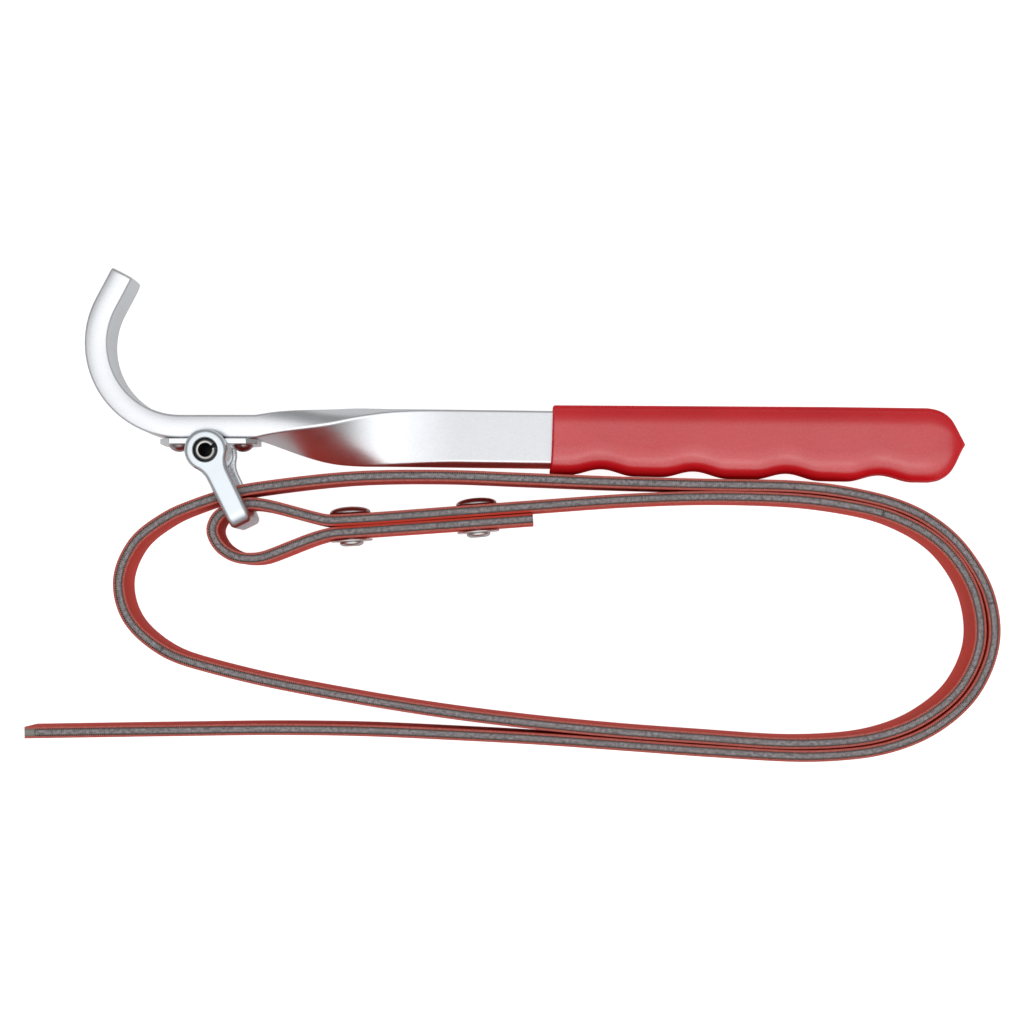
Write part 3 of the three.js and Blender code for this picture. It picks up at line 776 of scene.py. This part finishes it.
# The drip at the grip's end: distance from the end, then the share of the full width and of the thickness.
DRIP = (
    (11.5, 0.985, 1.0), (10, 0.96, 1.0), (8.8, 0.928, 0.99), (7.6, 0.88, 0.975), (6.6, 0.83, 0.955),
    (5.6, 0.762, 0.93), (4.9, 0.70, 0.895), (4.2, 0.62, 0.85), (3.6, 0.535, 0.80), (3.0, 0.445, 0.74),
    (2.5, 0.365, 0.67), (2.0, 0.285, 0.59), (1.5, 0.21, 0.50), (1.0, 0.14, 0.40), (0.6, 0.085, 0.29),
    (0.3, 0.05, 0.19), (0.1, 0.028, 0.11), (0.0, 0.012, 0.05),
)


def grip_ring(x, share=1.0, thin=1.0, swell=0.0):
    """A ring of the sleeve, its width and thickness scaled by share and thin and both moved out by swell."""
    full = clamp((x - GRIP_FROM) / (GRIP_FULL - GRIP_FROM), 0, 1)
    up = (GRIP_UP[0] + (GRIP_UP[1] - GRIP_UP[0]) * full) * share + swell
    down = (GRIP_DOWN[0] + (GRIP_DOWN[1] - GRIP_DOWN[0]) * full - groove_depth(x)) * share + swell
    half, corner, spare = GRIP_HALF_THICK * thin + swell, GRIP_CORNER * thin, GRIP_SPARE * share**2
    return section(run_station(x), up, down, half, corner, per_corner=16, spare=spare, stretch=GRIP_STRETCH)


def pocket_ring(x):
    """A ring of the sleeve's pocket, a little larger than the bar."""
    half_width, half_thick = BAR_WIDTH / 2 + POCKET_GAP, BAR_THICK / 2 + POCKET_GAP
    return section(run_station(x), half_width, half_width, half_thick, BAR_EDGE, per_corner=16, spare=0.1)


def lean(ring, x):
    """Moves a ring near the mouth back along the bar at its lower edge."""
    fade = clamp(1 - (x - GRIP_FROM) / LIP_FADE, 0, 1) ** 2
    line = place(x, bar_height(x)).y
    reach = GRIP_DOWN[0] * MM
    return [p - Vector((LIP_LEAN * fade * clamp((line - p.y) / reach, 0, 1) ** 2 * MM, 0, 0)) for p in ring]


def mouth_rings():
    """The pocket's end, the round of the lip and the first of the outside, all leaning."""
    rings = [lean(pocket_ring(GRIP_FROM + depth), GRIP_FROM + depth) for depth in POCKET_DEPTH]
    for angle in range(90, -1, -10):
        c, s = math.cos(math.radians(angle)), math.sin(math.radians(angle))
        x = GRIP_FROM + LIP_ROUND * (1 - s)
        rings.append(lean(grip_ring(x, swell=LIP_ROUND * (c - 1)), x))
    for x in (GRIP_FROM + step for step in (1.6, 2.4, 3.4, 4.6, 6.0, 7.5)):
        rings.append(lean(grip_ring(x), x))
    return rings


def build_grip():
    """The dipped sleeve: its mouth, the grooved length and the drip at its end."""
    length = np.linspace(GRIP_FROM + LIP_FADE, GRIP_END - DRIP_LENGTH, 150)
    rings = mouth_rings() + [grip_ring(float(x)) for x in length]
    rings += [grip_ring(GRIP_END - back, share, thin) for back, share, thin in DRIP]
    mesh = outward(skin("grip_sleeve", rings))
    finish_piece("grip", mesh, VINYL, "handle", "grip_sleeve", sharp=70)


# ---------- bracket and its rivets

STRIP_THICK, SADDLE_RADIUS, SADDLE_FILLET = 1.9, 5.05, 1.6
SADDLE_REACH, SADDLE_WIDTH, SADDLE_CORNER, SADDLE_RIVET_X = 16.6, 20.0, 3.5, 11.0
SADDLE_TOP = BAR_RISE - BAR_THICK / 2 - 0.1
DOME_RADIUS, DOME_STRETCH, DOME_SINK, DOME_BRIM = 3.25, 1.17, 1.05, 3.68  # the rivets' heads
BRACKET_SHANK, FLUSH_RADIUS, FLUSH_PROUD = 2.0, 2.9, 0.06  # their shanks and their far ends, flush in the bar


def build_bracket():
    """A bent strip round the pin, its flanges under the bar with their corners cut off."""
    middle = SADDLE_TOP - STRIP_THICK / 2
    turn_x = SADDLE_RADIUS + SADDLE_FILLET
    right = arc(0, 0, SADDLE_RADIUS, -90, 0, 24)
    right += arc(turn_x, middle - SADDLE_FILLET, SADDLE_FILLET, 180, 90, 10) + [(SADDLE_REACH, middle)]
    line = [(-x, y) for x, y in right[:0:-1]] + right
    strip = prism("strip", ribbon(line, STRIP_THICK / 2), -SADDLE_WIDTH / 2, SADDLE_WIDTH / 2)

    reach, wide, cut = SADDLE_REACH + 1, SADDLE_WIDTH / 2 + 1, SADDLE_CORNER + 2
    quarter = [(reach, wide - cut), (reach - cut, wide)]
    upper = quarter + [(-x, z) for x, z in quarter[::-1]]
    plan = upper + [(x, -z) for x, z in upper[::-1]]
    tall = SADDLE_REACH
    trim = prism("trim", plan, -tall, tall, lambda x, z, y: place(x, y, z))
    mesh = combine(strip, [("INTERSECT", trim)])
    obj = finish_piece("bracket", mesh, SHEET, "handle", "saddle_bracket")
    soften(obj, width=0.22, segments=3, angle=30)


def build_bracket_rivets():
    under, face = SADDLE_TOP - STRIP_THICK, BAR_RISE + BAR_THICK / 2
    dome = [(radius * DOME_STRETCH, y) for radius, y in arc(0, under + DOME_SINK, DOME_RADIUS, -90, -19, 14)]
    brim, far = under - 0.02, face + FLUSH_PROUD
    profile = [(0, dome[0][1]), *dome[1:], (DOME_BRIM, brim), (BRACKET_SHANK, brim)]
    profile += [(BRACKET_SHANK, face - 0.6), (FLUSH_RADIUS, face - 0.05)]
    profile += [(FLUSH_RADIUS - 0.15, far), (0, far)]
    for x, side in ((-SADDLE_RIVET_X, "hook_side"), (SADDLE_RIVET_X, "grip_side")):
        mesh = lathe("bracket_rivet", profile, place(x, 0), (0, 1, 0), 72)
        finish_piece(f"rivet_{side}", mesh, RIVET, "handle", f"bracket_rivet_{side}", sharp=40)


# ---------- stirrup and spring pin

STIRRUP_ANGLE, STIRRUP_REACH, STIRRUP_BAR = -64.0, 28.1, 3.9
HALF_OUT, HALF_IN, BOSS_RADIUS = 15.4, 11.2, 7.2
ARM_NECK, ARM_END, NECK_FILLET = 3.95, 3.8, 8.0
BEND_OUT, BEND_IN, ROLL_OUT, ROLL_IN = 4.5, 1.5, 1.7, 0.7
BORE_GAP, BORE_RIM = 0.12, 0.3
PIN_RADIUS, PIN_BORE, PIN_LENGTH, PIN_CHAMFER, PIN_SLOT, PIN_SLOT_ANGLE = 4.0, 2.3, 30.0, 0.9, 1.4, 25.0


def arm_stations():
    """One arm's edge from the boss's top down to the bend.

    A station is the edge's x, its outward x and y, and the outer and the inner skin as (z, y) points.
    """
    neck_x = ARM_NECK + NECK_FILLET
    neck_y = -math.sqrt((BOSS_RADIUS + NECK_FILLET) ** 2 - neck_x**2)
    meet = math.degrees(math.atan2(neck_y, neck_x))
    boss = [(x, y, x / BOSS_RADIUS, y / BOSS_RADIUS) for x, y in arc(0, 0, BOSS_RADIUS, 90, meet, 56)]
    fillet = arc(neck_x, neck_y, NECK_FILLET, 180 + meet, 180, 22)[1:]
    neck = [(x, y, (neck_x - x) / NECK_FILLET, (neck_y - y) / NECK_FILLET) for x, y in fillet]
    stations = [(x, nx, ny, (HALF_OUT, y), (HALF_IN, y)) for x, y, nx, ny in boss + neck]
    low_out, low_in = BEND_OUT - STIRRUP_REACH, STIRRUP_BAR + BEND_IN - STIRRUP_REACH
    for k in range(1, 13):
        share = k / 12
        outer = (HALF_OUT, neck_y + (low_out - neck_y) * share)
        inner = (HALF_IN, neck_y + (low_in - neck_y) * share)
        stations.append((ARM_NECK + (ARM_END - ARM_NECK) * share, 1, 0, outer, inner))
    return stations


def bend_stations():
    """The stations from the end of an arm, round the bend, to the middle of the cross bar."""
    low_out, low_in = BEND_OUT - STIRRUP_REACH, STIRRUP_BAR + BEND_IN - STIRRUP_REACH
    stations = []
    for angle in range(6, 91, 6):
        c, s = math.cos(math.radians(angle)), math.sin(math.radians(angle))
        outer = (HALF_OUT - BEND_OUT * (1 - c), low_out - BEND_OUT * s)
        inner = (HALF_IN - BEND_IN * (1 - c), low_in - BEND_IN * s)
        stations.append((ARM_END, 1, 0, outer, inner))
    stations += [(ARM_END, 1, 0, (z, -STIRRUP_REACH), (z, STIRRUP_BAR - STIRRUP_REACH)) for z in (6, 2)]
    return stations


def roll(radius, spare=0.5):
    """(inset, depth) steps over a rolled edge, from spare past it on the skin to the strip's side."""
    turns = [math.radians(angle) for angle in range(0, 91, 15)]
    steps = [(radius - radius * math.sin(turn), radius - radius * math.cos(turn)) for turn in turns]
    return [(radius + spare, 0.0), *steps]


def build_stirrup():
    """A flat strip forged into a U: both arms end in a round boss, and the whole edge is rolled."""
    turn = Matrix.Rotation(math.radians(STIRRUP_ANGLE + 90), 3, "Z")
    stations = arm_stations() + bend_stations()
    stations += [(x, nx, ny, (-z, y), (-in_z, in_y)) for x, nx, ny, (z, y), (in_z, in_y) in stations[::-1]]
    rings = []
    for x, nx, ny, outer, inner in stations:
        deep = Vector(inner) - Vector(outer)
        span = deep.length
        deep /= span
        levels = roll(ROLL_OUT) + [(inset, span - depth) for inset, depth in roll(ROLL_IN)[::-1]]
        side = []
        for inset, depth in levels:
            z, y = outer[0] + deep.x * depth, outer[1] + deep.y * depth
            side.append((max(x - nx * inset, 0.0), y - ny * inset, z))
        ring = side + [(-x, y, z) for x, y, z in side[::-1]]
        rings.append([PIN + (turn @ Vector(point)) * MM for point in ring])
    mesh = outward(skin("stirrup", rings, closed_ends=False), merge=0.002)
    mesh = combine(mesh, [("DIFFERENCE", cutter) for cutter in bore_cutters()])
    finish_piece("stirrup_strap_hanger", mesh, ZINC, "stirrup", "stirrup", sharp=32)


def bore_cutters():
    """The pin's bore through both arms, and the broken rim at each outer face."""
    radius, reach, axis = PIN_RADIUS + BORE_GAP, HALF_OUT + 4.6, (0, 0, 1)
    cutters = [lathe("bore", [(0, -reach), (radius, -reach), (radius, reach), (0, reach)], PIN, axis)]
    for side in (1, -1):
        low, high = side * (HALF_OUT - BORE_RIM), side * (HALF_OUT + BORE_RIM)
        rim = [(0, low), (radius, low), (radius + 2 * BORE_RIM, high), (0, high)]
        cutters.append(lathe("rim", rim, PIN, axis))
    return cutters


def build_pin():
    """The slotted spring pin: a rolled tube with its ends ground bright and its bore painted near black as
    painted shade.
    """
    half, land = PIN_LENGTH / 2, PIN_RADIUS - PIN_CHAMFER
    side = [(PIN_BORE, 0), (PIN_BORE, half - 0.3), (PIN_BORE + 0.12, half - 0.08), (PIN_BORE + 0.3, half)]
    side += [(land - 0.15, half), (land, half - 0.08), (PIN_RADIUS - 0.15, half - PIN_CHAMFER + 0.1)]
    side += [(PIN_RADIUS, half - PIN_CHAMFER - 0.3), (PIN_RADIUS, 0)]
    profile = side + [(radius, -z) for radius, z in side[-2:0:-1]]
    gap = math.degrees(math.asin(PIN_SLOT / 2 / ((PIN_RADIUS + PIN_BORE) / 2)))
    rings = []
    for i in range(97):
        turn = math.radians(PIN_SLOT_ANGLE + gap + (360 - 2 * gap) * i / 96)
        rings.append([place(radius * math.cos(turn), radius * math.sin(turn), z) for radius, z in profile])
    mesh = outward(skin("spring_pin", rings))
    finish_piece("slotted_pin", mesh, BLACK, "stirrup", "spring_pin", sharp=28)
    mesh.materials.append(BRIGHT_RING)
    mesh.materials.append(BORE_SHADE)
    for polygon in mesh.polygons:
        middle = (polygon.center - PIN) / MM
        radius = math.hypot(middle.x, middle.y)
        at_end = abs(polygon.normal.z) > 0.85 and abs(middle.z) > half - 0.2
        if at_end and PIN_BORE + 0.1 < radius < land + 0.05:
            polygon.material_index = 1
        # the bore's inside takes the painted shade
        elif radius < PIN_BORE + 0.05:
            polygon.material_index = 2


# ---------- strap

COVER_ROUND, CORE_SUNK, CORD_SUNK, CORD_WAVE = 0.22, 0.05, 0.06, 0.07
CORD_STEPS = 6  # rings to one cord


def layer_rings(line, profile_at):
    """Rings along the strap; profile_at gives a ring's (offset across the strap, height) points at a run."""
    run, points, _, normal = line
    middle_z = PIN.z / MM
    rings = []
    for at, (x, y), (nx, ny) in zip(run, points, normal):
        spots = [(x + nx * offset, y + ny * offset, middle_z + z) for offset, z in profile_at(at)]
        rings.append([Vector(spot) * MM for spot in spots])
    return rings


def cover_outline(sign, half):
    """A cover's section: square where it meets its ply, rounded at its outer face."""
    flat = COVER_OUT - COVER_ROUND
    turns = [math.radians(angle) for angle in (0, 22, 45, 68, 90)]
    level = half - COVER_ROUND
    bend = [(flat + COVER_ROUND * math.sin(turn), level + COVER_ROUND * math.cos(turn)) for turn in turns]
    upper = [(PLY_OUT, half), ((PLY_OUT + flat) / 2, half + 0.02), *bend]
    return [(sign * offset, z) for offset, z in upper + [(offset, -z) for offset, z in upper[::-1]]]


def cord_outline(at, sign, half):
    """A ply's section, its edge standing out at each cord's end."""
    wave = math.cos(math.tau * at / CORD_PITCH + 0.6 * math.sin(at * 0.7))
    reach = half - CORD_SUNK + CORD_WAVE * wave
    low, high = sorted((sign * CORE_HALF, sign * PLY_OUT))
    return [(low, reach), (high, reach), (high, -reach), (low, -reach)]


def build_cover(side, sign, half, material):
    shape = cover_outline(sign, half)
    mesh = skin(f"strap_{side}_cover", layer_rings(STRAP_LINE, lambda at: shape))
    lay_run(mesh, STRAP_LINE[0] * MM * COVER_UV, [z * MM * COVER_UV for _, z in shape])
    node = f"strap_{side}_cover"
    finish_piece(f"strap_{side}_rubber", outward(mesh), material, "strap", node, sharp=50)


def build_ply(side, sign, half, line):
    mesh = skin(f"strap_{side}_ply", layer_rings(line, lambda at: cord_outline(at, sign, half)))
    lay_run(mesh, line[0] * MM, [z * MM for _, z in cord_outline(0, sign, half)])
    node = f"strap_{side}_ply"
    finish_piece(f"strap_{side}_cord", outward(mesh), PLY, "strap", node, sharp=60)


def build_core(half):
    edge = half - CORE_SUNK
    upper = [(-CORE_HALF, edge), (0.0, edge + 0.03), (CORE_HALF, edge)]
    shape = upper + [(offset, -z) for offset, z in upper[::-1]]
    mesh = skin("strap_core_edge", layer_rings(STRAP_LINE, lambda at: shape))
    lay_run(mesh, STRAP_LINE[0] * MM, [offset * MM for offset, _ in shape])
    finish_piece("strap_middle", outward(mesh), CORE, "strap", "strap_core", sharp=50)


def build_strap():
    low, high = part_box("strap_core")
    half = (high.z - low.z) / MM / 2
    fine = strap_line(CORD_PITCH / CORD_STEPS)
    for side, sign, material in (("outer", 1, COVER), ("inner", -1, INNER_COVER)):
        build_cover(side, sign, half, material)
        build_ply(side, sign, half, fine)
    build_core(half)


# ---------- seam rivets and their washers

SEAM_FACE = 4.45  # from the middle of the seam to the face under a head and to the washer
SHANK_RADIUS, HEAD_RADIUS, HEAD_BRIM, HEAD_RISE = 2.5, 7.0, 0.45, 2.5
TAIL_FACE, TAIL_RADIUS, TAIL_RISE = 5.2, 4.1, 1.5
WASHER_BORE, WASHER_RADIUS, WASHER_THICK = 2.7, 7.3, 0.7


def rivet_profile():
    """The tail, the shank and the mushroom head, as (radius, height) from the middle of the seam."""
    low, top = -TAIL_FACE, SEAM_FACE
    tail = [(0, low - TAIL_RISE), (2.6, low - TAIL_RISE), (3.1, low - 1.42), (3.8, low - 1.05)]
    tail += [(TAIL_RADIUS, low - 0.7), (TAIL_RADIUS, low - 0.15), (TAIL_RADIUS - 0.15, low)]
    shank = [(SHANK_RADIUS, low), (SHANK_RADIUS, top)]
    brim = [(HEAD_RADIUS - 0.5, top), (HEAD_RADIUS - 0.15, top + 0.1), (HEAD_RADIUS, top + 0.3)]
    turns = [math.radians(angle) for angle in range(0, 86, 5)]
    rise = HEAD_RISE - HEAD_BRIM
    dome = [(HEAD_RADIUS * math.cos(turn) ** 0.9, top + HEAD_BRIM + rise * math.sin(turn)) for turn in turns]
    return tail + shank + brim + dome + [(0, top + HEAD_RISE)]


def washer_profile():
    near, far = -SEAM_FACE, -SEAM_FACE - WASHER_THICK
    rounded = [(WASHER_RADIUS - 0.15, far + 0.08), (WASHER_RADIUS, far + 0.3), (WASHER_RADIUS, near - 0.15)]
    rounded.append((WASHER_RADIUS - 0.1, near))
    return [(WASHER_BORE, far), (WASHER_RADIUS - 0.4, far), *rounded, (WASHER_BORE, near)]


def build_seam_rivets():
    """Each rivet stands across the seam where its CAD node is, with its washer under the tail."""
    _, points, tangent, _ = STRAP_LINE
    box_rise = (SEAM_FACE + HEAD_RISE - TAIL_FACE - TAIL_RISE) / 2  # a rivet's middle, above the seam's
    for side in ("eye_side", "end_side"):
        low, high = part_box(f"strap_rivet_{side}")
        centre = (low + high) / 2
        near = np.linalg.norm(points * MM - np.array([centre.x, centre.y]), axis=1).argmin()
        along = Vector((*tangent[near], 0))
        along = along if along.x > 0 else -along
        up = Vector((-along.y, along.x, 0))
        seam = centre - up * box_rise * MM
        mesh = lathe("strap_rivet", rivet_profile(), seam, up)
        node = f"strap_rivet_{side}"
        finish_piece(f"seam_rivet_{side}", mesh, RIVET, "strap", node, sharp=40)
        mesh = ring_lathe("washer", washer_profile(), seam, up)
        node = f"rivet_washer_{side}"
        finish_piece(f"seam_washer_{side}", mesh, NICKEL, "strap", node, sharp=40)


# ---------- stage, light and camera

GLOW, GLOW_SEEN, GLOW_MIRRORED = 0.7, 0.92, 0.27  # the bench's light on the part, as seen, and in the metal
PAPER_GREY = (0.45, 0.45, 0.45), (0.46, 0.46, 0.46)
BENCH_HALF, BENCH_DROP = 12.0, 0.0002  # metres, as is everything below
OVERHEAD = Vector((0.07, -0.18, 1.0)).normalized()  # the middle of the big soft light overhead
# The light's brightness against the cosine of the angle from that middle.
SKY = ((0.0, 0.25), (0.5, 0.36), (0.66, 0.62), (0.77, 1.12), (0.85, 1.26), (1.0, 1.33))
SKY_BLUE = 1.01
KEY_PLACE, KEY_SIZE, KEY_POWER = Vector((0.1, -0.3, 1.2)), (0.7, 0.34), 0.6
CAMERA_OFFSET = Vector((0.1084, -0.05107, 0.760))  # from the middle of the pin, looking straight down
FOCAL, SENSOR = 77.45, 36.0  # millimetres
LENS_SHIFT = (-0.0132, 0.0866)  # the lens axis meets the bench right of and below the picture's middle


def build_bench():
    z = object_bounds()[0].z - BENCH_DROP
    corners = [(-1, -1), (1, -1), (1, 1), (-1, 1)]
    mesh = mesh_from("bench", [(x * BENCH_HALF, y * BENCH_HALF, z) for x, y in corners], [(0, 1, 2, 3)])
    bench = bpy.data.objects.new("bench", mesh)
    bpy.context.scene.collection.objects.link(bench)
    mesh.materials.append(paper())


def build_sky():
    """A studio sky that is brightest round OVERHEAD and falls off as SKY says."""
    world = bpy.data.worlds.new("studio")
    world.use_nodes = True
    tree = world.node_tree
    background = tree.nodes["Background"]
    background.inputs["Strength"].default_value = 1.0
    direction = tree.nodes.new("ShaderNodeTexCoord")
    facing = tree.nodes.new("ShaderNodeVectorMath")
    facing.operation = "DOT_PRODUCT"
    facing.inputs[1].default_value = OVERHEAD
    ramp = tree.nodes.new("ShaderNodeValToRGB")
    tree.links.new(direction.outputs["Generated"], facing.inputs[0])
    tree.links.new(facing.outputs["Value"], ramp.inputs[0])
    tree.links.new(ramp.outputs[0], background.inputs["Color"])
    stops = ramp.color_ramp.elements
    for position, _ in SKY[1:-1]:
        stops.new(position)
    for stop, (position, value) in zip(stops, SKY):
        stop.position = position
        stop.color = (value, value, value * SKY_BLUE, 1)
    bpy.context.scene.world = world


def build_key():
    """One soft box just off overhead, aimed at the middle of the bench."""
    lamp = bpy.data.lights.new("key_softbox", "AREA")
    lamp.shape = "RECTANGLE"
    lamp.size, lamp.size_y = KEY_SIZE
    lamp.energy = KEY_POWER
    obj = bpy.data.objects.new("key_softbox", lamp)
    obj.location = KEY_PLACE
    obj.rotation_mode = "QUATERNION"
    obj.rotation_quaternion = (-KEY_PLACE).to_track_quat("-Z", "Y")
    bpy.context.scene.collection.objects.link(obj)


def build_camera():
    data = bpy.data.cameras.new("camera")
    data.sensor_width = SENSOR
    data.lens = FOCAL
    data.shift_x, data.shift_y = LENS_SHIFT
    data.clip_start, data.clip_end = 0.01, 20
    camera = bpy.data.objects.new("camera", data)
    camera.location = PIN + CAMERA_OFFSET
    bpy.context.scene.collection.objects.link(camera)
    bpy.context.scene.camera = camera


build_bar()
build_grip()
build_bracket()
build_bracket_rivets()
build_stirrup()
build_pin()
build_strap()
build_seam_rivets()
build_bench()
build_sky()
build_key()
build_camera()
bpy.context.scene.view_settings.view_transform = "Standard"
